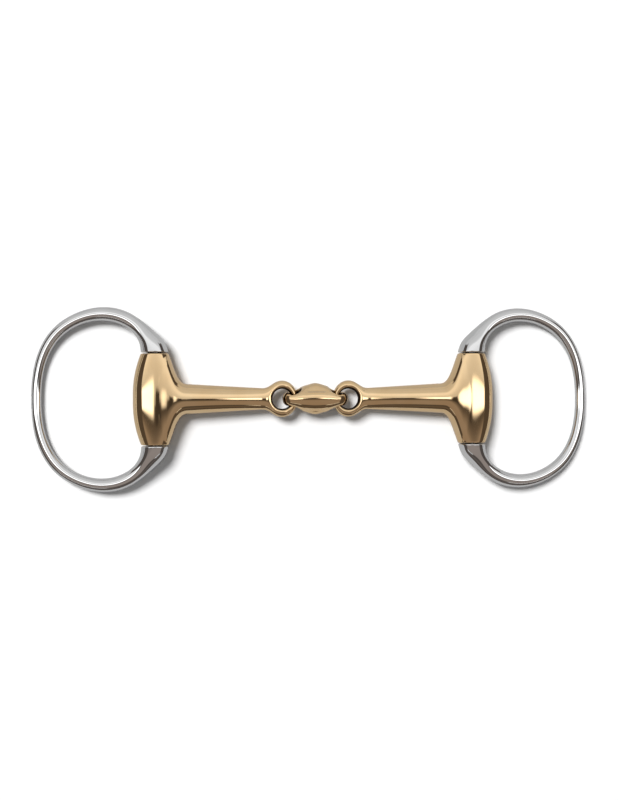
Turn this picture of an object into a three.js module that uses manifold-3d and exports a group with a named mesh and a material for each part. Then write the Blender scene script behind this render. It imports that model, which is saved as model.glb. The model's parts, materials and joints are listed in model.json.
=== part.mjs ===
// A double-jointed eggbutt snaffle bit, lying flat on a level surface.
//
// Two steel cheek rings swing on pins that run through the barrels at the ends of the mouthpiece. The
// mouthpiece is two tapered arms of copper alloy, and each arm's eye is chained to one end of a
// lozenge-shaped centre link.
//
// Millimetres. X runs along the mouthpiece, Y along the barrels, Z up. The surface that the bit lies on
// is z = 0, and the middle of the centre link stands over the origin.

import * as THREE from "three";
import { mergeVertices } from "three/addons/utils/BufferGeometryUtils.js";
import Module from "manifold-3d";

// Mouthpiece
const MOUTH_WIDTH = 135; // between the inner faces of the two barrels' ends
const CLEARANCE = 0.3; // between pieces that turn on, butt on or seat in each other
const CHAIN_SLACK = 1.45; // along X, each side of an eye's end bar in the link's hole

// Barrel at the outer end of each arm
const BARREL_LENGTH = 42.3;
const BARREL_END_RADIUS = 6.3;
const BARREL_MID_HALF_WIDTH = 10.1; // along X
const BARREL_MID_HALF_DEPTH = 7.0; // along Z

// Arm, as distances inward from the pin's axis
const ROOT_AT = 14;
const ROOT_HALF_HEIGHT = 7.0;
const ROOT_HALF_DEPTH = 6.3;
const NECK_AT = 48;
const NECK_HALF_HEIGHT = 5.0;
const NECK_HALF_DEPTH = 4.2;
const FILLET_FROM = 9; // where the arm's flare leaves the barrel
const FILLET_LENGTH = 6;
const FILLET_RISE = 4.1;
const FILLET_POWER = 2.6;

// Eye at the inner end of each arm
const EYE_BAR = 2.7; // thickness of the eye's end bar, along X
const EYE_SIDE = 3.85; // thickness of the eye beside its hole, along Y
const EYE_HALF_DEPTH = 2.35; // along Z
const EYE_SLACK = 1.09; // round the link's end bar in the eye's hole
const EYE_BLEND = 3.2; // length over which the neck runs into the eye
const EYE_LIP = 1.4; // how far each rim of the eye's hole is rounded outward

// Centre link, in its own frame before it is twisted about X
const LINK_LENGTH = 30.4;
const LINK_HALF_HEIGHT = 6.9; // along Z
const LINK_HALF_THICKNESS = 3.2; // along Y
const LINK_EDGE = 2.6; // how far its edge is rounded inward from the outline
const LINK_OUTLINE_POWER = 2.3; // 2 is an ellipse, and more is fuller
const LINK_BAR = 2.9; // thickness of its end bars, along X
const LINK_HOLE_SLACK = 0.94; // along Z, above and below an eye's end bar as it turns
const LINK_HOLE_POWER = 2.7;
const LINK_LIP = 1.4; // how far each rim of its holes is rounded outward
const LINK_TWIST = THREE.MathUtils.degToRad(12);
const LOZENGE_HALF_THICKNESS = 7.25; // along Y, at the apex
const LOZENGE_SLOPE = 0.36; // fall along Y for each millimetre along X
const LOZENGE_APEX_RADIUS = 2.2;
const LOZENGE_MARGIN = 0.9; // between the foot of the lozenge and the link's outline

// Cheek rings and pins
const PIN_RADIUS = 3.0;
const PIN_SEAT_DEPTH = 4; // of each end of the pin in the ring's flared end
const BOW_RADIUS = 2.3; // of the round bar at the middle of the bow
const RING_REACH = 54.1; // from the pin's axis to the middle of the bar in the bow
// Both edges of a ring between its upper flared end and the middle of its bow: [inner edge, outer edge].
// Each point is a distance outward along X and a distance up along Y from the barrel's end. The flare's
// points are measured outward from the flared end's own two edges, the arch's from half way to the bow,
// and the bow's from the bow's two edges.
const FLARE_EDGES = [
  [[0.5, 3.55], [1.6, 4.45]],
  [[2.1, 7.25], [5.6, 8.95]],
  [[5.3, 10.65], [12.1, 14.45]],
  [[10.1, 13.25], [19.3, 18.85]],
];
const ARCH_EDGES = [
  [[-3.45, 14.65], [-3.75, 20.85]],
  [[6.15, 13.05], [8.95, 18.05]],
];
const BOW_EDGES = [
  [[-8.8, 6.75], [-9.1, 10.05]],
  [[-2.4, -4.15], [-2.3, -2.65]],
];

// Facets
const RING_SIDES = 16;
const RING_STEPS = 54;
const ARM_SIDES = 24;
const BARREL_SIDES = 28;
const LINK_SIDES = 48;

// Colours of the polished metals
const STEEL = { color: 0xc9cbcd, roughness: 0.12, metalness: 1 };
const COPPER_ALLOY = { color: 0xc99e63, roughness: 0.14, metalness: 1 };

const PIN_X = MOUTH_WIDTH / 2 + BARREL_END_RADIUS;
const FLARE_AT = BARREL_LENGTH / 2 + CLEARANCE;
const LINK_END = LINK_LENGTH / 2;
const LINK_HOLE_HALF_LENGTH = EYE_BAR / 2 + CHAIN_SLACK;
const LINK_HOLE_HALF_HEIGHT = Math.hypot(EYE_BAR / 2, EYE_HALF_DEPTH) + LINK_HOLE_SLACK;
const EYE_HOLE_RADIUS = Math.hypot(LINK_HALF_THICKNESS, LINK_BAR / 2) + EYE_SLACK;
const EYE_HALF_HEIGHT = EYE_HOLE_RADIUS + EYE_SIDE;
// The eye's end bar stands in the middle of the link's hole, and an arm folds about it.
const FOLD_X = LINK_END - LINK_BAR - LINK_HOLE_HALF_LENGTH;
const EYE_END = PIN_X - FOLD_X + EYE_BAR / 2;
const EYE_AT = EYE_END - EYE_BAR - EYE_HOLE_RADIUS;
// The ring tips down about its pin until its bow lies on the surface.
const RING_TIP = Math.asin((BARREL_MID_HALF_DEPTH - BOW_RADIUS) / RING_REACH);

const wasm = await Module();
wasm.setup();

// ---------------------------------------------------------------- solids

// A manifold solid from a closed three.js geometry.
function solid(geometry) {
  const bare = geometry.clone();
  bare.deleteAttribute("normal");
  bare.deleteAttribute("uv");
  const merged = mergeVertices(bare, 1e-4);
  const mesh = new wasm.Mesh({
    numProp: 3,
    vertProperties: merged.attributes.position.array,
    triVerts: new Uint32Array(merged.index.array),
  });
  return new wasm.Manifold(mesh);
}

// A three.js geometry from a manifold solid.
function geometryOf(body) {
  const mesh = body.getMesh();
  const geometry = new THREE.BufferGeometry();
  geometry.setAttribute("position", new THREE.BufferAttribute(mesh.vertProperties, 3));
  geometry.setIndex(new THREE.BufferAttribute(mesh.triVerts, 1));
  geometry.computeVertexNormals();
  return geometry;
}

// A closed skin over rings of points, each with the same count, and a fan over each end. The rings run
// anticlockwise when looked at from the last ring towards the first.
function loft(rings) {
  const count = rings[0].length;
  const points = rings.flat();
  const faces = [];
  for (let i = 0; i < rings.length - 1; i++) {
    for (let j = 0; j < count; j++) {
      const a = i * count + j;
      const b = i * count + ((j + 1) % count);
      faces.push(a, b, b + count, a, b + count, a + count);
    }
  }
  const last = (rings.length - 1) * count;
  for (let j = 1; j < count - 1; j++) {
    faces.push(0, j + 1, j);
    faces.push(last, last + j, last + j + 1);
  }
  const geometry = new THREE.BufferGeometry().setFromPoints(points);
  geometry.setIndex(faces);
  return geometry;
}

// Points round an ellipse, or a fuller oval where power is over 2, as [first, second] coordinates. The
// points straddle the second axis, so the lowest facet lies flat.
function oval(half1, half2, sides, power = 2) {
  return Array.from({ length: sides }, (_, k) => {
    const angle = ((k + 0.5) * 2 * Math.PI) / sides - Math.PI / 2;
    const c = Math.cos(angle);
    const s = Math.sin(angle);
    const first = Math.sign(c) * half1 * Math.abs(c) ** (2 / power);
    const second = Math.sign(s) * half2 * Math.abs(s) ** (2 / power);
    return [first, second];
  });
}

function range(from, to, steps) {
  return Array.from({ length: steps + 1 }, (_, i) => from + ((to - from) * i) / steps);
}

function lerp(a, b, t) {
  return a + (b - a) * THREE.MathUtils.clamp(t, 0, 1);
}

// The larger of two values, rounded where they cross over the given width.
function smoothMax(a, b, width) {
  const h = Math.max(width - Math.abs(a - b), 0) / width;
  return Math.max(a, b) + (h * h * width) / 4;
}

// ---------------------------------------------------------------- mouthpiece arm

// The barrel is a crowned drum along Y, wider along X at its middle than at its ends.
function barrel() {
  const half = BARREL_LENGTH / 2;
  const seat = 2.4; // half the length of the level stretch in the middle
  const stations = [...range(-half, -seat, 6), ...range(seat, half, 6)];
  return solid(
    loft(
      stations.map((y) => {
        const crown = 1 - (Math.max(Math.abs(y) - seat, 0) / (half - seat)) ** 2;
        const width = BARREL_END_RADIUS + (BARREL_MID_HALF_WIDTH - BARREL_END_RADIUS) * crown;
        const flat = Math.cos(Math.PI / BARREL_SIDES);
        const depth = (BARREL_END_RADIUS + (BARREL_MID_HALF_DEPTH - BARREL_END_RADIUS) * crown) / flat;
        return oval(width, depth, BARREL_SIDES).map(([x, z]) => new THREE.Vector3(x, y, -z));
      }),
    ),
  );
}

// Half the arm's height along Y at a distance s inward from the pin's axis.
function armHalfHeight(s) {
  const taper = ROOT_HALF_HEIGHT + ((NECK_HALF_HEIGHT - ROOT_HALF_HEIGHT) * (s - ROOT_AT)) / (NECK_AT - ROOT_AT);
  const flare = FILLET_RISE * THREE.MathUtils.clamp(1 - (s - FILLET_FROM) / FILLET_LENGTH, 0, 1) ** FILLET_POWER;
  const halfLength = s > EYE_AT ? EYE_END - EYE_AT : EYE_HALF_HEIGHT;
  const eye = EYE_HALF_HEIGHT * Math.sqrt(Math.max(1 - ((s - EYE_AT) / halfLength) ** 2, 0));
  return s > EYE_AT ? eye : smoothMax(taper, eye, EYE_BLEND) + flare;
}

// Half the arm's depth along Z.
function armHalfDepth(s) {
  const neck = lerp(ROOT_HALF_DEPTH, NECK_HALF_DEPTH, (s - ROOT_AT) / (NECK_AT - ROOT_AT));
  const flatten = THREE.MathUtils.smoothstep(s, NECK_AT - 6, EYE_AT - EYE_HOLE_RADIUS + 1);
  const round = s > EYE_AT ? Math.sqrt(Math.max(1 - ((s - EYE_AT) / (EYE_END - EYE_AT)) ** 4, 0)) : 1;
  return lerp(neck, EYE_HALF_DEPTH, flatten) * Math.max(round, 0.3);
}

function taperedArm() {
  const stations = [
    2,
    ...range(FILLET_FROM, FILLET_FROM + FILLET_LENGTH, 5),
    ...range(ROOT_AT + 8, NECK_AT - 4, 3),
    ...range(NECK_AT, EYE_AT, 6),
    ...range(0.25, 0.98, 5).map((t) => EYE_AT + (EYE_END - EYE_AT) * Math.sin((t * Math.PI) / 2)),
  ];
  return solid(
    loft(
      stations.map((s) => {
        const power = lerp(2, 2.8, (s - NECK_AT) / (EYE_AT - NECK_AT));
        return oval(armHalfHeight(s), armHalfDepth(s), ARM_SIDES, power).map(
          ([y, z]) => new THREE.Vector3(s, y, z),
        );
      }),
    ),
  );
}

// A round cutter along Z whose ends open out in a quarter-round lip above and below the eye.
function eyeCutter() {
  const lip = range(0, Math.PI / 2, 4).map((a) => [
    EYE_HOLE_RADIUS + EYE_LIP * (1 - Math.cos(a)),
    EYE_HALF_DEPTH - EYE_LIP * (1 - Math.sin(a)),
  ]);
  const beyond = [[EYE_HOLE_RADIUS + EYE_LIP, EYE_HALF_DEPTH + 6]];
  const upper = [...lip, ...beyond];
  const lower = upper.map(([r, z]) => [r, -z]).reverse();
  const wall = [...lower, ...upper].map(([r, z]) => new THREE.Vector2(r, z));
  const profile = [new THREE.Vector2(0, -EYE_HALF_DEPTH - 6), ...wall, new THREE.Vector2(0, EYE_HALF_DEPTH + 6)];
  const cutter = new THREE.LatheGeometry(profile, 32);
  cutter.rotateX(Math.PI / 2);
  cutter.translate(EYE_AT, 0, 0);
  return solid(cutter);
}

// An arm with its barrel on the Y axis and its eye towards +X.
function mouthpieceArm() {
  const bore = new THREE.CylinderGeometry(
    PIN_RADIUS + CLEARANCE,
    PIN_RADIUS + CLEARANCE,
    BARREL_LENGTH + 2,
    24,
  );
  return geometryOf(barrel().add(taperedArm()).subtract(eyeCutter()).subtract(solid(bore)));
}

// ---------------------------------------------------------------- centre link

// The flat oval of the link, standing in the XZ plane with a rounded edge.
function linkPlate() {
  const layers = range(-0.96, 0.96, 8).map((t) => Math.sin((t * Math.PI) / 2));
  return loft(
    layers.map((t) => {
      const inset = LINK_EDGE * (1 - Math.sqrt(1 - t * t));
      const outline = oval(LINK_END - inset, LINK_HALF_HEIGHT - inset, LINK_SIDES, LINK_OUTLINE_POWER);
      return outline.map(([x, z]) => new THREE.Vector3(x, t * LINK_HALF_THICKNESS, -z));
    }),
  );
}

// Half the link's outline along Z at a distance x from its middle.
function linkHalfHeight(x) {
  const share = Math.abs(x / LINK_END) ** LINK_OUTLINE_POWER;
  return LINK_HALF_HEIGHT * (1 - share) ** (1 / LINK_OUTLINE_POWER);
}

// The lozenge swelling: the plate's middle thickened along Y, with straight slopes down to both ends
// and an apex rounded all round.
function lozenge() {
  const foot = LINK_HALF_THICKNESS * 0.9;
  const reach = (LOZENGE_HALF_THICKNESS - foot) / LOZENGE_SLOPE;
  return loft(
    range(-1, 1, 20).map((t) => {
      const x = t * reach;
      const fall = Math.hypot(x, LOZENGE_APEX_RADIUS) - LOZENGE_APEX_RADIUS;
      const rise = LOZENGE_HALF_THICKNESS - LOZENGE_SLOPE * fall;
      return oval(rise, linkHalfHeight(x) - LOZENGE_MARGIN, 28, 2.4).map(([y, z]) => new THREE.Vector3(x, y, z));
    }),
  );
}

// The hole that an arm's eye passes through, along Y, with both rims opened out in a quarter round.
function linkHole(side) {
  const reach = LOZENGE_HALF_THICKNESS + 1;
  const lip = range(0, Math.PI / 2, 3).map((a) => [
    LINK_HALF_THICKNESS - LINK_LIP * (1 - Math.sin(a)),
    LINK_LIP * (1 - Math.cos(a)),
  ]);
  const upper = [...lip, [reach, LINK_LIP * 1.7]];
  const lower = upper.map(([y, opening]) => [-y, opening]).reverse();
  const opening = loft(
    [...lower, ...upper].map(([y, more]) =>
      oval(LINK_HOLE_HALF_LENGTH + more, LINK_HOLE_HALF_HEIGHT + more, 24, LINK_HOLE_POWER).map(
        ([x, z]) => new THREE.Vector3(x, y, -z),
      ),
    ),
  );
  opening.translate(side * FOLD_X, 0, 0);
  return solid(opening);
}

function centreLink() {
  const body = solid(linkPlate()).add(solid(lozenge()));
  return geometryOf(body.subtract(linkHole(-1)).subtract(linkHole(1)));
}

// ---------------------------------------------------------------- cheek ring

// A smooth curve along one edge of a ring, from its upper flared end round to its lower one. The side is
// 0 for the inner edge and 1 for the outer one.
function ringEdge(side, flare, bow) {
  const from = (edges, origin) => edges.map((pair) => [origin + pair[side][0], FLARE_AT + pair[side][1]]);
  const upper = [
    [flare, FLARE_AT],
    ...from(FLARE_EDGES, flare),
    ...from(ARCH_EDGES, RING_REACH / 2),
    ...from(BOW_EDGES, bow),
  ];
  const lower = upper.map(([out, up]) => [out, -up]).reverse();
  const points = [...upper, [bow, 0], ...lower].map(([out, up]) => new THREE.Vector3(out, up, 0));
  return new THREE.CatmullRomCurve3(points);
}

// The bent bar of a ring, with the pin's axis on Y and the bow towards +X. Each section is a circle
// that spans the two edges.
function ringBar() {
  const inner = ringEdge(0, BARREL_END_RADIUS, RING_REACH - BOW_RADIUS);
  const outer = ringEdge(1, -BARREL_END_RADIUS, RING_REACH + BOW_RADIUS);
  const rings = range(0, 1, RING_STEPS).map((t) => {
    const inside = inner.getPoint(t);
    const outside = outer.getPoint(t);
    const centre = inside.clone().add(outside).multiplyScalar(0.5);
    const across = outside.clone().sub(inside);
    const radius = across.length() / 2;
    across.normalize();
    return oval(radius, radius, RING_SIDES).map(([a, b]) =>
      centre.clone().addScaledVector(across, a).add(new THREE.Vector3(0, 0, b)),
    );
  });
  return solid(loft(rings));
}

function cheekRing() {
  const seat = new THREE.CylinderGeometry(
    PIN_RADIUS + CLEARANCE,
    PIN_RADIUS + CLEARANCE,
    2 * (FLARE_AT + PIN_SEAT_DEPTH + CLEARANCE),
    20,
  );
  return geometryOf(ringBar().subtract(solid(seat)));
}

function cheekPin() {
  return new THREE.CylinderGeometry(PIN_RADIUS, PIN_RADIUS, 2 * (FLARE_AT + PIN_SEAT_DEPTH), 20);
}

// ---------------------------------------------------------------- assembly

function piece(name, geometry, finish) {
  const mesh = new THREE.Mesh(geometry, new THREE.MeshStandardMaterial(finish));
  mesh.name = name;
  return mesh;
}

// One half of the bit with its barrel on the pin's axis, built with the ring towards +X.
function half(side) {
  const group = new THREE.Group();
  const arm = piece(`${side}_mouthpiece_arm`, mouthpieceArm(), COPPER_ALLOY);
  arm.rotation.z = Math.PI;
  const cheek = new THREE.Group();
  cheek.add(piece(`${side}_cheek_ring`, cheekRing(), STEEL));
  cheek.add(piece(`${side}_cheek_pin`, cheekPin(), STEEL));
  cheek.rotation.y = RING_TIP;
  group.add(arm, cheek);
  group.position.x = PIN_X;
  const placed = new THREE.Group();
  placed.add(group);
  if (side === "left") placed.rotation.z = Math.PI;
  return placed;
}

const bit = new THREE.Group();
bit.name = "snaffle_bit";
bit.position.z = BARREL_MID_HALF_DEPTH;

const link = piece("centre_link", centreLink(), COPPER_ALLOY);
link.rotation.x = LINK_TWIST;
bit.add(link, half("left"), half("right"));

export default bit;
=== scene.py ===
"""A double-jointed eggbutt snaffle bit, lying on a pale surface under soft studio light.

Two mirror-polished steel cheek rings swing on pins through the barrels of a golden copper-alloy
mouthpiece. The mouthpiece is two tapered arms whose eyes are chained to a lozenge-shaped centre link.
Every piece is made here in mesh code and stands for the CAD node that it replaces.

Shapes are worked out in millimetres and put in the scene in metres. X runs along the mouthpiece, Y
along the barrels and Z up.
"""

import json
import math

import bpy
import numpy as np
from bpy.props import FloatProperty, FloatVectorProperty, PointerProperty
from mathutils import Matrix, Vector


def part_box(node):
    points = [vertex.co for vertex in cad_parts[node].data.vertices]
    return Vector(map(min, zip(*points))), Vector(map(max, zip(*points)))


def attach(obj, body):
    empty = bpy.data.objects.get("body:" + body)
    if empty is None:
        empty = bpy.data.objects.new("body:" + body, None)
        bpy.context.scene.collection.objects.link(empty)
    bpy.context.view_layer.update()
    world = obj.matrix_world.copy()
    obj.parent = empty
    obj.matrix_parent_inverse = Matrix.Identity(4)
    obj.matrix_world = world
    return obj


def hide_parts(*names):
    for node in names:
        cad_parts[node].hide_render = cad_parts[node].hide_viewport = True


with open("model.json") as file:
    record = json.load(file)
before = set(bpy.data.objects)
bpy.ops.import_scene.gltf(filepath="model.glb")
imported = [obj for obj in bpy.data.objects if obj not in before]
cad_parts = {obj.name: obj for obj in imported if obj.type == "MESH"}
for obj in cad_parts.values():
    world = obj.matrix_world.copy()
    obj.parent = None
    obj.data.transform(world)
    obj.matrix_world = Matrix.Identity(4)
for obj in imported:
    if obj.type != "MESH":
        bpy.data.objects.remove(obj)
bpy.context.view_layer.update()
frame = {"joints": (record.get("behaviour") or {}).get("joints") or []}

bl_info = {
    "name": "Snaffle Bit",
    "version": (1, 0, 0),
    "blender": (4, 5, 0),
    "location": "View3D > Sidebar > Snaffle Bit",
    "description": "Builds a double-jointed eggbutt snaffle bit with polished metal finishes",
    "category": "Add Mesh",
}

MM = 0.001
SIDES = {"left": -1, "right": 1}

# Places that the frame gives, in millimetres
joints = {joint["name"]: Vector(joint["pos_m"]) / MM for joint in frame["joints"]}
PIN_X = joints["right_cheek_swing"].x
FOLD_X = joints["right_fold"].x
REST_HEIGHT = joints["right_fold"].z
arm_low, arm_high = (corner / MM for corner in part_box("right_mouthpiece_arm"))
pin_low, pin_high = (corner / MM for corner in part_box("right_cheek_pin"))
BARREL_HALF_LENGTH = arm_high.y
EYE_END = PIN_X - arm_low.x
PIN_HALF_LENGTH = pin_high.y
PIN_RADIUS = (pin_high.z - pin_low.z) / 2

# Running clearance round a pin, and the blend of the edge round a barrel's end, in millimetres
PIN_CLEARANCE = 0.3
BARREL_EDGE = 0.7


# ---------------------------------------------------------------- sizes and colours


def length(name, description, default):
    """A length property in metres, from a default in millimetres."""
    return FloatProperty(
        name=name, description=description, default=default * MM, min=0.0, unit="LENGTH", precision=5
    )


class BitArmSizes(bpy.types.PropertyGroup):
    """Sizes of a mouthpiece arm: its barrel, its tapered bar and its eye."""

    barrel_end: length("Barrel end radius", "Radius of the barrel at its two ends", 6.3)
    barrel_width: length("Barrel half width", "Half the barrel's width at its middle", 10.05)
    barrel_depth: length("Barrel half depth", "Half the barrel's depth at its middle", 6.98)
    root_height: length("Root half height", "Half the bar's height where it leaves the barrel", 7.0)
    root_depth: length("Root half depth", "Half the bar's depth where it leaves the barrel", 6.5)
    neck_height: length("Neck half height", "Half the bar's height at the neck before the eye", 5.0)
    eye_height: length("Eye half height", "Half the eye's height", 8.45)
    eye_depth: length("Eye half depth", "Half the eye's depth", 2.35)
    eye_hole: length("Eye hole radius", "Radius of the eye's hole", 4.6)
    eye_bar: length("Eye bar width", "Width of the eye's metal beyond its hole", 2.7)
    grain: length("Mesh size", "Length of a face's side in the finished mesh", 0.42)


class BitLinkSizes(bpy.types.PropertyGroup):
    """Sizes of the centre link."""

    half_length: length("Half length", "Half the link's length", 15.18)
    half_height: length("Half height", "Half the height of the link's oval", 6.88)
    half_thickness: length("Half thickness", "Half the thickness of the link's plate at its holes", 3.2)
    crown: length("Crown", "How much further each face of the plate stands out at its middle", 1.15)
    lozenge: length("Lozenge half thickness", "Half the thickness over the lozenge's two crests", 7.25)
    hole_length: length("Hole half length", "Half the length of each hole", 2.8)
    hole_height: length("Hole half height", "Half the height of each hole", 3.65)
    twist: FloatProperty(
        name="Twist",
        description="Angle that the link lies tipped at on its loose joints",
        default=math.radians(12),
        subtype="ANGLE",
    )
    grain: length("Mesh size", "Length of a face's side in the finished mesh", 0.34)


class BitRingSizes(bpy.types.PropertyGroup):
    """Sizes of a cheek ring and its pin."""

    reach: length("Reach", "From the pin's axis to the middle of the bar in the bow", 54.1)
    bow: length("Bow radius", "Radius of the round bar at the middle of the bow", 2.3)
    rim: length("Rim radius", "Rounding of the rims of the flared ends", 0.5)
    gap: length("Joint gap", "Gap between the barrel's end and the flared end", 0.3)


class BitFinishes(bpy.types.PropertyGroup):
    """Colours and polish of the metals."""

    steel: FloatVectorProperty(
        name="Steel",
        description="Colour of the polished steel",
        default=(0.84, 0.84, 0.84),
        subtype="COLOR",
    )
    alloy: FloatVectorProperty(
        name="Alloy",
        description="Colour of the golden copper alloy",
        default=(0.95, 0.70, 0.41),
        subtype="COLOR",
    )
    polish: FloatProperty(
        name="Roughness",
        description="Roughness of the polished surfaces",
        default=0.05,
        min=0.0,
        max=1.0,
        subtype="FACTOR",
    )


class BitStageSizes(bpy.types.PropertyGroup):
    """The camera and the lights."""

    distance: length("Camera distance", "Distance of the camera from the bit", 600.0)
    yaw: FloatProperty(
        name="Camera yaw",
        description="How far the camera stands to the left of straight above",
        default=math.radians(6),
        subtype="ANGLE",
    )
    key: FloatProperty(
        name="Key light", description="Strength of the shadow-casting light", default=3.4, min=0.0
    )
    ambient: FloatProperty(
        name="Ambient", description="Brightness of the dim surroundings", default=0.22, min=0.0
    )


GROUPS = {
    "bit_arm": BitArmSizes,
    "bit_link": BitLinkSizes,
    "bit_ring": BitRingSizes,
    "bit_finishes": BitFinishes,
    "bit_stage": BitStageSizes,
}


def sizes(group):
    """The lengths of a property group, in millimetres, as a dictionary."""
    settings = getattr(bpy.context.scene, group)
    return {name: getattr(settings, name) / MM for name in settings.__annotations__ if name != "twist"}


# ---------------------------------------------------------------- shape functions


def smooth_min(a, b, width):
    """The smaller of two fields, blended where they are within the width of each other."""
    share = np.maximum(width - np.abs(a - b), 0) / width
    return np.minimum(a, b) - share * share * width / 4


def smooth_max(a, b, width):
    """The larger of two fields, blended where they are within the width of each other."""
    return -smooth_min(-a, -b, width)


def smooth_step(value, start, end):
    """0 before start, 1 after end, and a smooth rise between them."""
    t = np.clip((value - start) / (end - start), 0, 1)
    return t * t * (3 - 2 * t)


def oval_distance(u, v, half_u, half_v, power=2.0):
    """About how far a point is outside an oval, which is fuller than an ellipse where power is over 2."""
    u = np.abs(u) + 1e-6
    v = np.abs(v) + 1e-6
    reach = ((u / half_u) ** power + (v / half_v) ** power) ** (1 / power)
    slope_u = (u / half_u) ** (power - 1) / half_u
    slope_v = (v / half_v) ** (power - 1) / half_v
    slope = np.hypot(slope_u, slope_v) * np.maximum(reach, 1e-3) ** (1 - power)
    return (reach - 1) / slope


def barrel_field(s, y, z, size):
    """A crowned drum along Y, wider along the arm at its middle than at its ends."""
    level = 2.4
    crown = 1 - (np.maximum(np.abs(y) - level, 0) / (BARREL_HALF_LENGTH - level)) ** 2
    past_the_end = -0.3
    crown = np.maximum(crown, past_the_end)
    width = size["barrel_end"] + (size["barrel_width"] - size["barrel_end"]) * crown
    depth = size["barrel_end"] + (size["barrel_depth"] - size["barrel_end"]) * crown
    drum = oval_distance(s, z, width, depth)
    return smooth_max(drum, np.abs(y) - BARREL_HALF_LENGTH, BARREL_EDGE)


def bar_field(s, y, z, size):
    """The tapered bar between the barrel and the eye, flared where it leaves the barrel."""
    root_at, neck_at, thin_at, thinning_power = 14, 48, 51, 2.2
    flare_from, flare_length, flare_rise, flare_power = 9, 6, 4.1, 2.6
    along = (s - root_at) / (neck_at - root_at)
    height = size["root_height"] + (size["neck_height"] - size["root_height"]) * np.clip(along, -0.1, 1.2)
    height = height + flare_rise * np.clip(1 - (s - flare_from) / flare_length, 0, 1.6) ** flare_power
    thinning = np.clip((s - root_at) / (thin_at - root_at), 0, 1) ** thinning_power
    depth = size["root_depth"] + (size["eye_depth"] - size["root_depth"]) * thinning
    bar = oval_distance(y, z, height, depth, 2.1)
    start, end = -3, EYE_END - 8
    ends = np.abs(s - (start + end) / 2) - (end - start) / 2
    return smooth_max(bar, ends, 1.0)


def eye_field(s, y, z, size):
    """The rounded ring of the eye, without its hole."""
    rounding = 2.6
    half_length = size["eye_bar"] + size["eye_hole"]
    outline = oval_distance(s - EYE_END + half_length, y, half_length, size["eye_height"])
    return smooth_max(outline, np.abs(z) - size["eye_depth"], rounding)


def outside_eye_hole(s, y, size):
    """How far a point is outside the round hole of the eye."""
    middle = EYE_END - size["eye_bar"] - size["eye_hole"]
    return np.hypot(s - middle, y) - size["eye_hole"]


def arm_field(s, y, z, size):
    """A whole arm: barrel, bar and eye in one casting, with the eye's hole and the pin's bore."""
    eye_blend, hole_edge, bore_edge = 3.2, 2.0, 0.5
    root_blend = 0.3 + 4.2 * smooth_step(s, 0.5, 9)
    body = smooth_min(barrel_field(s, y, z, size), bar_field(s, y, z, size), root_blend)
    body = smooth_max(body, np.abs(y) - BARREL_HALF_LENGTH, BARREL_EDGE)
    body = smooth_min(body, eye_field(s, y, z, size), eye_blend)
    body = smooth_max(body, -outside_eye_hole(s, y, size), hole_edge)
    bore = PIN_RADIUS + PIN_CLEARANCE - np.hypot(s, z)
    return smooth_max(body, bore, bore_edge)


def link_field(x, y, z, size):
    """The centre link before it is tipped: an oval plate with rounded edges, a lozenge and two holes."""
    outline_power, edge, rounding = 2.3, 2.6, 2.15
    inside = -oval_distance(x, z, size["half_length"], size["half_height"], outline_power)
    thick = size["half_thickness"] + size["crown"] * np.clip(1 - (x / FOLD_X) ** 2, 0, 1)
    from_middle = np.maximum(edge - inside, 0) / edge
    plate = thick * ((from_middle**rounding + np.abs(y / thick) ** rounding) ** (1 / rounding) - 1)
    # The lozenge falls away from its crest to both ends, and its foot nears the plate's outline there
    slope, crest, lozenge_length = 0.36, 1.7, 0.8
    margin = 2.1 - 1.4 * smooth_step(np.abs(x), 2.5, 6.5)
    rise = np.maximum(size["lozenge"] - slope * (np.hypot(x, crest) - crest), 0.5)
    share = np.clip(np.abs(x / size["half_length"]), 0, 0.999) ** outline_power
    foot = np.maximum(size["half_height"] * (1 - share) ** (1 / outline_power) - margin, 0.4)
    ends = np.abs(x) - lozenge_length * size["half_length"]
    lozenge = np.maximum(oval_distance(y, z, rise, foot, 2.5), ends)
    foot_blend, hole_edge = 0.9, 1.6
    body = smooth_min(plate, lozenge, foot_blend)
    hole = -oval_distance(np.abs(x) - FOLD_X, z, size["hole_length"], size["hole_height"], 2.7)
    return smooth_max(body, hole, hole_edge)


# ---------------------------------------------------------------- meshes


def slopes(field, points, step=0.01):
    """The field's slope along each axis at each point."""
    columns = []
    for axis in range(3):
        shift = np.zeros(3)
        shift[axis] = step
        columns.append((field(*(points + shift).T) - field(*(points - shift).T)) / (2 * step))
    return np.stack(columns, 1)


def drawn_to(field, points):
    """The points moved onto the surface where the field is zero, and the surface's normals there."""
    rounds, longest = 6, 0.4
    for _ in range(rounds):
        slope = slopes(field, points)
        distance = field(*points.T) / np.maximum((slope * slope).sum(1), 1e-6)
        points = points - np.clip(distance, -longest, longest)[:, None] * slope
    slope = slopes(field, points)
    return points, slope / np.linalg.norm(slope, axis=1)[:, None]


def relaxed(points, quads, normals, rounds, field):
    """The points evened out along the surface, so that the faces are near squares."""
    edges = np.concatenate([quads[:, [0, 1]], quads[:, [1, 2]], quads[:, [2, 3]], quads[:, [3, 0]]])
    for _ in range(rounds):
        total = np.zeros_like(points)
        np.add.at(total, edges[:, 0], points[edges[:, 1]])
        np.add.at(total, edges[:, 1], points[edges[:, 0]])
        count = np.bincount(edges.ravel(), minlength=len(points))[:, None]
        pull = total / count - points
        pull = pull - (pull * normals).sum(1)[:, None] * normals
        points, normals = drawn_to(field, points + 0.5 * pull)
    return points, normals


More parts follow.
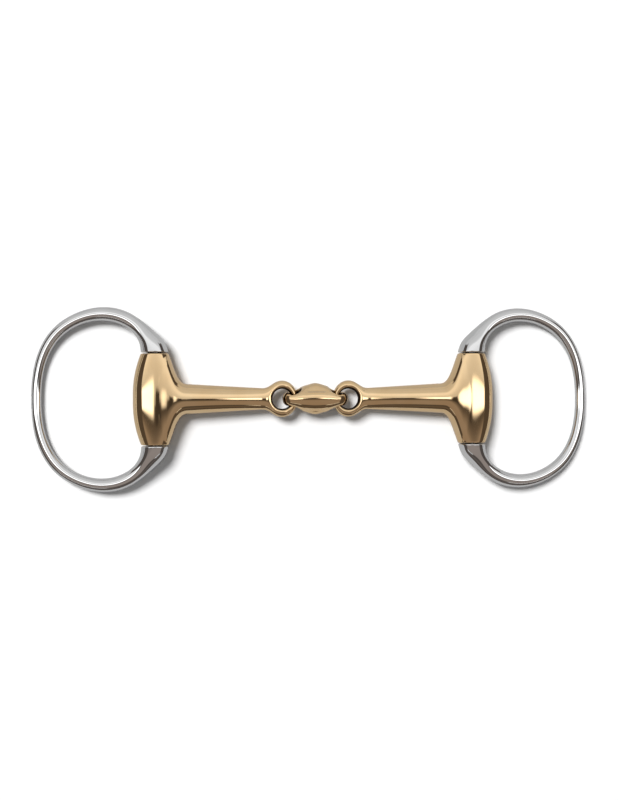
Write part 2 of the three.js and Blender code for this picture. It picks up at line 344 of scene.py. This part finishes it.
def net_over(field, low, high, pitch):
    """Points, quads and normals of the surface where the field is zero, from a grid over the box."""
    axes = [np.arange(a, b + pitch, pitch) for a, b in zip(low, high)]
    values = field(*np.meshgrid(*axes, indexing="ij"))
    inside = values < 0
    corners = np.array([[i, j, k] for i in (0, 1) for j in (0, 1) for k in (0, 1)])
    cells = tuple(n - 1 for n in values.shape)

    def at_corner(grid, corner):
        return grid[tuple(slice(c, c + n) for c, n in zip(corner, cells))]

    filled = sum(at_corner(inside, corner).astype(int) for corner in corners)
    index = np.argwhere((filled > 0) & (filled < 8))
    number = np.full(cells, -1)
    number[tuple(index.T)] = np.arange(len(index))
    at_corners = np.stack([values[tuple((index + corner).T)] for corner in corners], 1)
    total, count = np.zeros((len(index), 3)), np.zeros(len(index))
    for a in range(8):
        for b in range(a + 1, 8):
            if np.abs(corners[a] - corners[b]).sum() != 1:
                continue
            crossed = (at_corners[:, a] < 0) != (at_corners[:, b] < 0)
            first, second = at_corners[crossed, a], at_corners[crossed, b]
            share = (first / (first - second))[:, None]
            total[crossed] += corners[a] + share * (corners[b] - corners[a])
            count[crossed] += 1
    points = np.array(low) + pitch * (index + total / count[:, None])

    quads = []
    for axis in range(3):
        one, two = (axis + 1) % 3, (axis + 2) % 3
        ahead = np.roll(inside, -1, axis)
        crossing = inside != ahead
        crossing[tuple(slice(-1, None) if a == axis else slice(None) for a in range(3))] = False
        place = np.argwhere(crossing)
        back_one, back_two = np.eye(3, dtype=int)[one], np.eye(3, dtype=int)[two]
        around = [place - back_one - back_two, place - back_two, place, place - back_one]
        faces = np.stack([number[tuple(cell.T)] for cell in around], 1)
        leaving = inside[tuple(place.T)]
        quads += [faces[leaving], faces[~leaving][:, ::-1]]
    quads = np.concatenate(quads)
    points, normals = drawn_to(field, points)
    points, normals = relaxed(points, quads, normals, 3, field)
    return points, quads, normals


def tube(rings):
    """Quads over rings of points with the same count, open at both ends."""
    count = len(rings[0])
    steps = len(rings) - 1
    start = (np.arange(steps) * count)[:, None]
    j = np.arange(count)
    after = (j + 1) % count
    faces = np.stack([start + j, start + after, start + count + after, start + count + j], 2)
    return np.concatenate(rings), faces.reshape(-1, 4)


def make_piece(name, points, faces, material, body, node, normals=None, hole_shade_and_roughness=None):
    """A shaded mesh in the CAD's frame that rides on a body and stands for a CAD node.

    Where its mask is 1, on the walls of the holes, its colour is painted dark as painted shade and its
    metal is rough.
    """
    mesh = bpy.data.meshes.new(name)
    mesh.from_pydata((np.asarray(points) * MM).tolist(), [], [list(face) for face in faces])
    mesh.validate()
    mesh.shade_smooth()
    if normals is not None:
        mesh.normals_split_custom_set_from_vertices(np.asarray(normals).tolist())
    if hole_shade_and_roughness is not None:
        mesh.attributes.new("hole_shade_and_roughness", "FLOAT", "POINT").data.foreach_set("value", hole_shade_and_roughness)
    mesh.materials.append(material)
    piece = bpy.data.objects.new(name, mesh)
    bpy.context.scene.collection.objects.link(piece)
    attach(piece, body)
    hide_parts(node)
    return piece


# ---------------------------------------------------------------- cheek ring


def spline_through(points, knots, at):
    """A natural cubic spline through the points at the knots, read at the given places."""
    points = np.asarray(points, float)
    gaps = np.diff(knots)
    n = len(knots)
    matrix = np.eye(n)
    right = np.zeros((n, points.shape[1]))
    for i in range(1, n - 1):
        matrix[i, i - 1 : i + 2] = gaps[i - 1], 2 * (gaps[i - 1] + gaps[i]), gaps[i]
        right[i] = 6 * ((points[i + 1] - points[i]) / gaps[i] - (points[i] - points[i - 1]) / gaps[i - 1])
    bend = np.linalg.solve(matrix, right)
    i = np.clip(np.searchsorted(knots, at, side="right") - 1, 0, n - 2)
    gap = gaps[i][:, None]
    a = ((knots[i + 1] - at) / gaps[i])[:, None]
    b = 1 - a
    ease = ((a**3 - a) * bend[i] + (b**3 - b) * bend[i + 1]) * gap**2 / 6
    return a * points[i] + b * points[i + 1] + ease


# Both edges of a ring between its upper flared end and the middle of its bow: [inner edge, outer edge].
# Each point is a distance outward along X and a distance up along Y from the barrel's end. The flare's
# points are measured outward from the flared end's own two edges, the arch's from half way to the bow,
# and the bow's from the bow's two edges.
FLARE_EDGES = [
    [(0.5, 3.55), (1.6, 4.45)],
    [(2.1, 7.25), (5.6, 8.95)],
    [(5.3, 10.65), (12.1, 14.45)],
    [(10.1, 13.25), (19.3, 18.85)],
]
ARCH_EDGES = [
    [(-3.45, 14.65), (-3.75, 20.85)],
    [(6.15, 13.05), (8.95, 18.05)],
]
BOW_EDGES = [
    [(-8.8, 6.75), (-9.1, 10.05)],
    [(-2.4, -4.15), (-2.3, -2.65)],
]


def ring_edge(side, flare, bow, reach, flare_at):
    """The points along one edge of a ring, from its upper flared end round to its lower one."""

    def placed(edges, origin):
        return [(origin + pair[side][0], flare_at + pair[side][1]) for pair in edges]

    upper = [(flare, flare_at)]
    upper += placed(FLARE_EDGES, flare)
    upper += placed(ARCH_EDGES, reach / 2)
    upper += placed(BOW_EDGES, bow)
    lower = [(out, -up) for out, up in reversed(upper)]
    return np.array(upper + [(bow, 0.0)] + lower)


def ring_shell(size, flare):
    """Points and faces of a ring with the pin's axis on Y and the bow towards +X, before it is tipped."""
    count, steps = 64, 400
    flare_at = BARREL_HALF_LENGTH + size["gap"]
    inner = ring_edge(0, flare, size["reach"] - size["bow"], size["reach"], flare_at)
    outer = ring_edge(1, -flare, size["reach"] + size["bow"], size["reach"], flare_at)
    middle = (inner + outer) / 2
    knots = np.concatenate([[0], np.cumsum(np.linalg.norm(np.diff(middle, axis=0), axis=1))])
    end = knots[-1]
    rim = size["rim"]
    near_end = rim * (1 - np.cos(np.linspace(0, math.pi / 2, 7)))
    at = np.concatenate([near_end, np.linspace(rim, end - rim, steps)[1:-1], end - near_end[::-1]])
    inside = spline_through(inner, knots, at)
    outside = spline_through(outer, knots, at)
    from_end = np.minimum(at, end - at)
    rounding = rim - np.sqrt(np.maximum(rim**2 - np.maximum(rim - from_end, 0) ** 2, 0))
    angles = np.arange(count) * 2 * math.pi / count
    rings = []
    for a, b, inset in zip(inside, outside, rounding):
        centre = (a + b) / 2
        across = b - a
        radius = np.linalg.norm(across) / 2
        across = across / (2 * radius)
        radius = radius - inset
        flat = centre + radius * np.cos(angles)[:, None] * across
        rings.append(np.column_stack([flat, radius * np.sin(angles)]))
    seat = PIN_RADIUS + PIN_CLEARANCE
    bottom = PIN_HALF_LENGTH + PIN_CLEARANCE
    chamfer, middle_hole = 0.25, 0.05

    def seat_ring(radius, height, like):
        centre = np.array([0, height, 0])
        spoke = like - like.mean(0)
        return centre + spoke / np.linalg.norm(spoke, axis=1)[:, None] * radius

    def end_rings(like, sign):
        mouth = [(seat + chamfer, flare_at), (seat, flare_at + chamfer)]
        profile = mouth + [(seat, bottom), (middle_hole, bottom)]
        return [seat_ring(radius, sign * height, like) for radius, height in profile]

    rings = end_rings(rings[0], 1)[::-1] + rings + end_rings(rings[-1], -1)
    return tube(rings)


def tip_angle(size):
    """How far a ring tips down about its pin until its bow lies on the surface."""
    return math.asin((REST_HEIGHT - size["bow"]) / size["reach"])


def placed_on_side(points, side):
    """Points moved from about the origin to a side's pin, turned half round about Z for the left."""
    points = np.asarray(points) * (SIDES[side], SIDES[side], 1)
    return points + (SIDES[side] * PIN_X, 0, REST_HEIGHT)


# ---------------------------------------------------------------- finishes


def new_material(name):
    """A material whose only shader is a Principled one, and that shader."""
    material = bpy.data.materials.new(name)
    material.use_nodes = True
    nodes = material.node_tree.nodes
    nodes.clear()
    output = nodes.new("ShaderNodeOutputMaterial")
    shader = nodes.new("ShaderNodeBsdfPrincipled")
    material.node_tree.links.new(shader.outputs["BSDF"], output.inputs["Surface"])
    return material, shader


def noise(tree, scale, detail, stretch=(1, 1, 1)):
    """A noise pattern in the piece's own coordinates, stretched along its axes."""
    place = tree.nodes.new("ShaderNodeTexCoord")
    mapping = tree.nodes.new("ShaderNodeMapping")
    mapping.inputs["Scale"].default_value = stretch
    pattern = tree.nodes.new("ShaderNodeTexNoise")
    pattern.inputs["Scale"].default_value = scale
    pattern.inputs["Detail"].default_value = detail
    tree.links.new(place.outputs["Object"], mapping.inputs["Vector"])
    tree.links.new(mapping.outputs["Vector"], pattern.inputs["Vector"])
    return pattern.outputs["Fac"]


# Painted shade: the dark colour given to the walls of the holes where a mesh's mask marks them, and the
# roughness there
PAINTED_HOLE_SHADE = (0.04, 0.024, 0.014)
HOLE_WALL_ROUGHNESS = 0.4
HAND_WAVE_DEPTH = 0.00004
LINE_DEPTH = 0.000004


def polished_metal(name, colour, shade, roughness, wave, stretch):
    """A polished metal with faint polishing lines, cloudy gloss and slight changes of colour.

    Where a mesh's mask marks the walls of its holes, its colour is painted dark as painted shade and it is
    rough. Shade is the colour of its random darker patches, and wave is how uneven hand polishing left it.
    Stretch draws the lines out along an axis.
    """
    patches, clouds, waves, fine_lines = 90, 60, 110, 900
    material, shader = new_material(name)
    tree = material.node_tree
    shader.inputs["Metallic"].default_value = 1.0

    tint = tree.nodes.new("ShaderNodeValToRGB")
    tint.color_ramp.elements[0].position = 0.38
    tint.color_ramp.elements[0].color = (*shade, 1)
    tint.color_ramp.elements[1].position = 0.62
    tint.color_ramp.elements[1].color = (*colour, 1)
    tree.links.new(noise(tree, patches, 3), tint.inputs["Fac"])
    # The mask of the hole walls, where the colour is painted dark as painted shade and the metal is made
    # rough
    hole_shade_and_roughness = tree.nodes.new("ShaderNodeAttribute")
    hole_shade_and_roughness.attribute_name = "hole_shade_and_roughness"
    darkened = tree.nodes.new("ShaderNodeMixRGB")
    darkened.inputs["Color2"].default_value = (*PAINTED_HOLE_SHADE, 1)
    tree.links.new(hole_shade_and_roughness.outputs["Fac"], darkened.inputs["Fac"])
    tree.links.new(tint.outputs["Color"], darkened.inputs["Color1"])
    tree.links.new(darkened.outputs["Color"], shader.inputs["Base Color"])

    gloss = tree.nodes.new("ShaderNodeMapRange")
    gloss.inputs["From Min"].default_value = 0.35
    gloss.inputs["From Max"].default_value = 0.7
    gloss.inputs["To Min"].default_value = roughness * 0.7
    gloss.inputs["To Max"].default_value = roughness * 1.8
    tree.links.new(noise(tree, clouds, 5), gloss.inputs["Value"])
    roughened = tree.nodes.new("ShaderNodeMath")
    roughened.operation = "MULTIPLY_ADD"
    roughened.inputs[1].default_value = HOLE_WALL_ROUGHNESS
    tree.links.new(hole_shade_and_roughness.outputs["Fac"], roughened.inputs[0])
    tree.links.new(gloss.outputs["Result"], roughened.inputs[2])
    tree.links.new(roughened.outputs["Value"], shader.inputs["Roughness"])

    hand = tree.nodes.new("ShaderNodeBump")
    hand.inputs["Strength"].default_value = wave
    hand.inputs["Distance"].default_value = HAND_WAVE_DEPTH
    tree.links.new(noise(tree, waves, 1), hand.inputs["Height"])
    lines = tree.nodes.new("ShaderNodeBump")
    lines.inputs["Strength"].default_value = 0.12
    lines.inputs["Distance"].default_value = LINE_DEPTH
    tree.links.new(noise(tree, fine_lines, 4, stretch), lines.inputs["Height"])
    tree.links.new(hand.outputs["Normal"], lines.inputs["Normal"])
    tree.links.new(lines.outputs["Normal"], shader.inputs["Normal"])
    return material


def mouthpiece_alloy():
    """The polished golden alloy of the arms and the link, its lines drawn out along the mouthpiece."""
    finish = bpy.context.scene.bit_finishes
    colour = tuple(finish.alloy)
    shade = tuple(c * d for c, d in zip(colour, (0.97, 0.94, 0.90)))
    return polished_metal("polished_copper_alloy", colour, shade, finish.polish, 0.35, (0.12, 1, 1))


def cheek_steel():
    """The polished steel of the rings, its lines drawn out along the barrels."""
    finish = bpy.context.scene.bit_finishes
    colour = tuple(finish.steel)
    shade = tuple(c * 0.96 for c in colour)
    return polished_metal("polished_steel", colour, shade, finish.polish * 0.8, 0.2, (1, 0.12, 1))


def pin_steel():
    """The ground steel of the pins, its lines running round them."""
    finish = bpy.context.scene.bit_finishes
    colour = tuple(c * 0.85 for c in finish.steel)
    shade = tuple(c * 0.9 for c in colour)
    return polished_metal("ground_steel", colour, shade, 0.22, 0.1, (1, 8, 1))


def plain_surface(name, colour, roughness):
    """A matt surface of one colour, for the stage."""
    material, shader = new_material(name)
    shader.inputs["Base Color"].default_value = (*colour, 1)
    shader.inputs["Roughness"].default_value = roughness
    shader.inputs["Specular IOR Level"].default_value = 0.0
    return material


def glowing_surface(name, colour, strength):
    """A surface that only gives light, for the stage."""
    material = bpy.data.materials.new(name)
    material.use_nodes = True
    nodes = material.node_tree.nodes
    nodes.clear()
    output = nodes.new("ShaderNodeOutputMaterial")
    glow = nodes.new("ShaderNodeEmission")
    glow.inputs["Color"].default_value = (*colour, 1)
    glow.inputs["Strength"].default_value = strength
    material.node_tree.links.new(glow.outputs["Emission"], output.inputs["Surface"])
    return material


# ---------------------------------------------------------------- stage


REFLECTED_ONLY = {"camera": False, "diffuse": False, "shadow": False, "transmission": False}
WHITE = (1, 1, 1)
WARM = (1.0, 0.85, 0.76)


def stage_card(name, corners, material, **seen_by):
    """A flat card of the studio, which isn't part of the bit. Corners are in metres."""
    mesh = bpy.data.meshes.new(name)
    mesh.from_pydata([Vector(corner) for corner in corners], [], [list(range(len(corners)))])
    mesh.materials.append(material)
    card = bpy.data.objects.new(name, mesh)
    bpy.context.scene.collection.objects.link(card)
    for ray, seen in seen_by.items():
        setattr(card, f"visible_{ray}", seen)
    return card


def fading_glow(name, brightness, fade, colour):
    """Light that fades out towards the card's edges, over a share of its width and height."""
    material = glowing_surface(name, colour, brightness)
    tree = material.node_tree
    place = tree.nodes.new("ShaderNodeTexCoord")
    parts = tree.nodes.new("ShaderNodeSeparateXYZ")
    tree.links.new(place.outputs["UV"], parts.inputs["Vector"])
    shares = []
    for axis, width in zip("XY", fade):
        mirrored = tree.nodes.new("ShaderNodeMath")
        mirrored.operation = "PINGPONG"
        mirrored.inputs[1].default_value = 0.5
        tree.links.new(parts.outputs[axis], mirrored.inputs[0])
        rise = tree.nodes.new("ShaderNodeMapRange")
        rise.interpolation_type = "SMOOTHSTEP"
        rise.inputs["From Max"].default_value = width
        tree.links.new(mirrored.outputs["Value"], rise.inputs["Value"])
        shares.append(rise.outputs["Result"])
    both = tree.nodes.new("ShaderNodeMath")
    both.operation = "MULTIPLY"
    tree.links.new(shares[0], both.inputs[0])
    tree.links.new(shares[1], both.inputs[1])
    clear = tree.nodes.new("ShaderNodeBsdfTransparent")
    mix = tree.nodes.new("ShaderNodeMixShader")
    tree.links.new(both.outputs["Value"], mix.inputs["Fac"])
    tree.links.new(clear.outputs["BSDF"], mix.inputs[1])
    tree.links.new(tree.nodes["Emission"].outputs["Emission"], mix.inputs[2])
    tree.links.new(mix.outputs["Shader"], tree.nodes["Material Output"].inputs["Surface"])
    return material


def reflected_card(name, corners, brightness, fade, colour):
    """A card with soft edges that is seen only in the bit's reflections."""
    glow = fading_glow(name + "_glow", brightness, fade, colour)
    card = stage_card(name, corners, glow, **REFLECTED_ONLY)
    layer = card.data.uv_layers.new(name="card")
    for loop, place in zip(layer.data, ((0, 0), (1, 0), (1, 1), (0, 1))):
        loop.uv = place
    return card


def level_card(name, low, high, height, brightness, fade=(0.1, 0.3), colour=WHITE):
    """A level card over the bit."""
    (x0, y0), (x1, y1) = low, high
    corners = [(x0, y0, height), (x1, y0, height), (x1, y1, height), (x0, y1, height)]
    return reflected_card(name, corners, brightness, fade, colour)


def wall_card(name, start, end, low, high, brightness, fade=(0.1, 0.1), colour=WHITE):
    """An upright card between two points of the plan."""
    (x0, y0), (x1, y1) = start, end
    corners = [(x0, y0, low), (x1, y1, low), (x1, y1, high), (x0, y0, high)]
    return reflected_card(name, corners, brightness, fade, colour)


def make_floor():
    """The pale floor, and a darker one just over it that only the bit's reflections show."""
    half, floor_height, reflected_height = 12.0, -0.0001, -0.00006
    square = [(-half, -half), (half, -half), (half, half), (-half, half)]
    pale = plain_surface("pale_floor", (0.93, 0.93, 0.93), 0.9)
    stage_card("floor", [(x, y, floor_height) for x, y in square], pale, glossy=False)
    shade = plain_surface("reflected_floor", (0.44, 0.44, 0.44), 0.9)
    stage_card("reflected_floor", [(x, y, reflected_height) for x, y in square], shade, **REFLECTED_ONLY)


def make_dark_room():
    """The dim warm walls and ceiling of the room, seen only in the bit's reflections."""
    half, height = 3.0, 2.5
    corners = [(-half, -half), (half, -half), (half, half), (-half, half)]
    glow = glowing_surface("dark_room_glow", WARM, 0.08)
    for index, (start, end) in enumerate(zip(corners, corners[1:] + corners[:1])):
        wall = [(*start, 0.0), (*end, 0.0), (*end, height), (*start, height)]
        stage_card(f"dark_wall_{index + 1}", wall, glow, **REFLECTED_ONLY)
    stage_card("dark_ceiling", [(x, y, height) for x, y in corners], glow, **REFLECTED_ONLY)


def make_backdrop():
    """A pale ring of wall far away, seen only by the camera."""
    glow = glowing_surface("backdrop_glow", WHITE, 1.0)
    count, radius, height, lean = 48, 7.5, 6.0, 0.6
    angles = np.arange(count) * 2 * math.pi / count
    ring = np.column_stack([radius * np.cos(angles), radius * np.sin(angles)])
    low = np.column_stack([ring, np.full(count, -0.01)])
    high = np.column_stack([ring * lean, np.full(count, height)])
    points, faces = tube([low, high])
    mesh = bpy.data.meshes.new("backdrop")
    mesh.from_pydata(points.tolist(), [], [list(face) for face in faces])
    mesh.materials.append(glow)
    wall = bpy.data.objects.new("backdrop", mesh)
    bpy.context.scene.collection.objects.link(wall)
    for ray in ("diffuse", "glossy", "shadow", "transmission"):
        setattr(wall, f"visible_{ray}", False)


def make_camera(settings):
    """The camera above the bit, aimed a little to the left of its middle."""
    data = bpy.data.cameras.new("camera")
    camera = bpy.data.objects.new("camera", data)
    bpy.context.scene.collection.objects.link(camera)
    aim = Vector((-0.0029, -0.0006, 0.007))
    view_height, roll = 0.3708, math.radians(-0.25)
    facing = Matrix.Rotation(-settings.yaw, 3, "Y")
    data.sensor_width = 36.0
    data.lens = data.sensor_width * settings.distance / view_height
    camera.location = aim + facing @ Vector((0.0, 0.0, settings.distance))
    camera.rotation_euler = (facing @ Matrix.Rotation(roll, 3, "Z")).to_euler()
    bpy.context.scene.camera = camera


def make_key_light(settings):
    """The broad light from the upper left that casts the soft shadow."""
    data = bpy.data.lights.new("key_light", "SUN")
    data.energy = settings.key
    data.angle = math.radians(22)
    light = bpy.data.objects.new("key_light", data)
    direction = Vector((0.5, -0.42, -1.0))
    light.rotation_euler = direction.to_track_quat("-Z", "Y").to_euler()
    light.visible_glossy = False
    light.visible_camera = False
    bpy.context.scene.collection.objects.link(light)


def make_world(settings):
    """The dim even light all round."""
    world = bpy.data.worlds.new("studio")
    world.use_nodes = True
    background = world.node_tree.nodes["Background"]
    background.inputs["Color"].default_value = (*WHITE, 1)
    background.inputs["Strength"].default_value = settings.ambient
    bpy.context.scene.world = world


# ---------------------------------------------------------------- operators


class BIT_OT_cheek_rings(bpy.types.Operator):
    """Build the two cheek rings."""

    bl_idname = "bit.cheek_rings"
    bl_label = "Cheek Rings"

    def execute(self, context):
        size = sizes("bit_ring")
        flare = sizes("bit_arm")["barrel_end"]
        points, faces = ring_shell(size, flare)
        tip = tip_angle(size)
        turn = np.array(Matrix.Rotation(tip, 3, "Y"))
        points = points @ turn.T
        material = cheek_steel()
        for side in SIDES:
            made = placed_on_side(points, side)
            make_piece(
                f"{side}_ring", made, faces, material, f"{side}_cheek", f"{side}_cheek_ring"
            )
        return {"FINISHED"}


class BIT_OT_cheek_pins(bpy.types.Operator):
    """Build the two pins that the cheek rings swing on."""

    bl_idname = "bit.cheek_pins"
    bl_label = "Cheek Pins"

    def execute(self, context):
        chamfer, count, middle_hole = 0.4, 48, 0.05
        angles = np.arange(count) * 2 * math.pi / count
        circle = np.column_stack([np.cos(angles), np.zeros(count), -np.sin(angles)])
        half = [
            (middle_hole, PIN_HALF_LENGTH),
            (PIN_RADIUS - chamfer, PIN_HALF_LENGTH),
            (PIN_RADIUS, PIN_HALF_LENGTH - chamfer),
        ]
        profile = half + [(radius, -at) for radius, at in reversed(half)]
        points, faces = tube([circle * radius + (0, at, 0) for radius, at in profile])
        material = pin_steel()
        for side in SIDES:
            made = placed_on_side(points, side)
            make_piece(
                f"{side}_pin", made, faces, material, f"{side}_cheek", f"{side}_cheek_pin"
            )
        return {"FINISHED"}


class BIT_OT_mouthpiece_arms(bpy.types.Operator):
    """Build the two arms of the mouthpiece."""

    bl_idname = "bit.mouthpiece_arms"
    bl_label = "Mouthpiece Arms"

    def execute(self, context):
        size = sizes("bit_arm")

        def field(s, y, z):
            return arm_field(s, y, z, size)

        margin = 2 * size["grain"]
        low = (-size["barrel_width"] - margin, -BARREL_HALF_LENGTH - margin, -size["barrel_depth"] - margin)
        high = (EYE_END + margin, BARREL_HALF_LENGTH + margin, size["barrel_depth"] + margin)
        points, faces, normals = net_over(field, low, high, size["grain"])
        # Painted shade: the walls of the eye's hole are marked, to be painted dark and made rough
        from_hole = outside_eye_hole(points[:, 0], points[:, 1], size)
        hole_shade_and_roughness = 1 - smooth_step(from_hole, 0.6, 1.0)
        turned = np.array([-1, -1, 1])
        material = mouthpiece_alloy()
        for side, sign in SIDES.items():
            made = placed_on_side(points * turned, side)
            facing = normals * turned * (sign, sign, 1)
            make_piece(
                f"{side}_arm_casting", made, faces, material, f"{side}_arm",
                f"{side}_mouthpiece_arm", facing, hole_shade_and_roughness,
            )
        return {"FINISHED"}


class BIT_OT_centre_link(bpy.types.Operator):
    """Build the centre link."""

    bl_idname = "bit.centre_link"
    bl_label = "Centre Link"

    def execute(self, context):
        size = sizes("bit_link")

        def field(x, y, z):
            return link_field(x, y, z, size)

        margin = 2 * size["grain"]
        high = np.array([size["half_length"], size["lozenge"], size["half_height"]]) + margin
        points, faces, normals = net_over(field, -high, high, size["grain"])
        # Painted shade: the walls of the link's holes are marked, to be painted dark and made rough
        x, z = np.abs(points[:, 0]) - FOLD_X, points[:, 2]
        from_hole = oval_distance(x, z, size["hole_length"], size["hole_height"])
        hole_shade_and_roughness = 1 - smooth_step(from_hole, 0.2, 0.6)
        turn = np.array(Matrix.Rotation(context.scene.bit_link.twist, 3, "X"))
        made = points @ turn.T + (0, 0, REST_HEIGHT)
        make_piece(
            "link_casting", made, faces, mouthpiece_alloy(), "centre_link",
            "centre_link", normals @ turn.T, hole_shade_and_roughness,
        )
        return {"FINISHED"}


class BIT_OT_stage(bpy.types.Operator):
    """Build the floor, the lights, the reflected cards and the camera."""

    bl_idname = "bit.stage"
    bl_label = "Stage"

    def execute(self, context):
        settings = context.scene.bit_stage
        context.scene.view_settings.view_transform = "Standard"
        make_camera(settings)
        make_world(settings)
        make_key_light(settings)
        make_floor()
        make_backdrop()
        make_dark_room()
        level_card("left_strip", (-0.92, -0.06), (-0.07, 0.07), 0.60, 2.2, (0.13, 0.35))
        level_card("right_strip", (0.06, -0.06), (0.95, 0.07), 0.60, 2.2, (0.12, 0.35))
        level_card("camera_gap", (-0.06, -0.08), (0.08, 0.035), 0.59, 0.05, (0.2, 0.25), WARM)
        level_card("bright_ceiling", (-1.3, -0.02), (1.3, 1.7), 0.78, 0.62, (0.06, 0.02))
        level_card("overhead_glow", (-1.3, -0.02), (1.3, 0.75), 0.76, 0.95, (0.06, 0.45))
        wall_card("far_wall", (-2.2, 1.6), (2.2, 1.6), -0.1, 0.9, 0.58)
        level_card("near_ceiling", (-1.3, -1.0), (1.3, -0.06), 0.80, 0.29, (0.06, 0.2), WARM)
        wall_card("near_wall", (-2.2, -1.4), (2.2, -1.4), 0.35, 0.85, 0.12, (0.1, 0.3), WARM)
        level_card("left_near_strip", (-1.1, -0.86), (-0.22, -0.72), 0.62, 1.0)
        level_card("right_near_strip", (0.28, -0.86), (1.1, -0.72), 0.62, 1.0)
        return {"FINISHED"}


class BIT_PT_panel(bpy.types.Panel):
    """The snaffle bit's sizes, colours and building steps."""

    bl_idname = "BIT_PT_panel"
    bl_label = "Snaffle Bit"
    bl_space_type = "VIEW_3D"
    bl_region_type = "UI"
    bl_category = "Snaffle Bit"

    def draw(self, context):
        for group, kind in GROUPS.items():
            box = self.layout.box()
            box.label(text=kind.__doc__)
            for name in kind.__annotations__:
                box.prop(getattr(context.scene, group), name)
        for operator in OPERATORS:
            self.layout.operator(operator.bl_idname)


OPERATORS = (
    BIT_OT_stage,
    BIT_OT_cheek_rings,
    BIT_OT_cheek_pins,
    BIT_OT_mouthpiece_arms,
    BIT_OT_centre_link,
)


def register():
    for cls in (*GROUPS.values(), *OPERATORS, BIT_PT_panel):
        bpy.utils.register_class(cls)
    for name, kind in GROUPS.items():
        setattr(bpy.types.Scene, name, PointerProperty(type=kind))


def unregister():
    for name in GROUPS:
        delattr(bpy.types.Scene, name)
    for cls in reversed((*GROUPS.values(), *OPERATORS, BIT_PT_panel)):
        bpy.utils.unregister_class(cls)


def main():
    register()
    bpy.ops.bit.stage()
    bpy.ops.bit.cheek_rings()
    bpy.ops.bit.cheek_pins()
    bpy.ops.bit.mouthpiece_arms()
    bpy.ops.bit.centre_link()


if __name__ == "__main__":
    main()
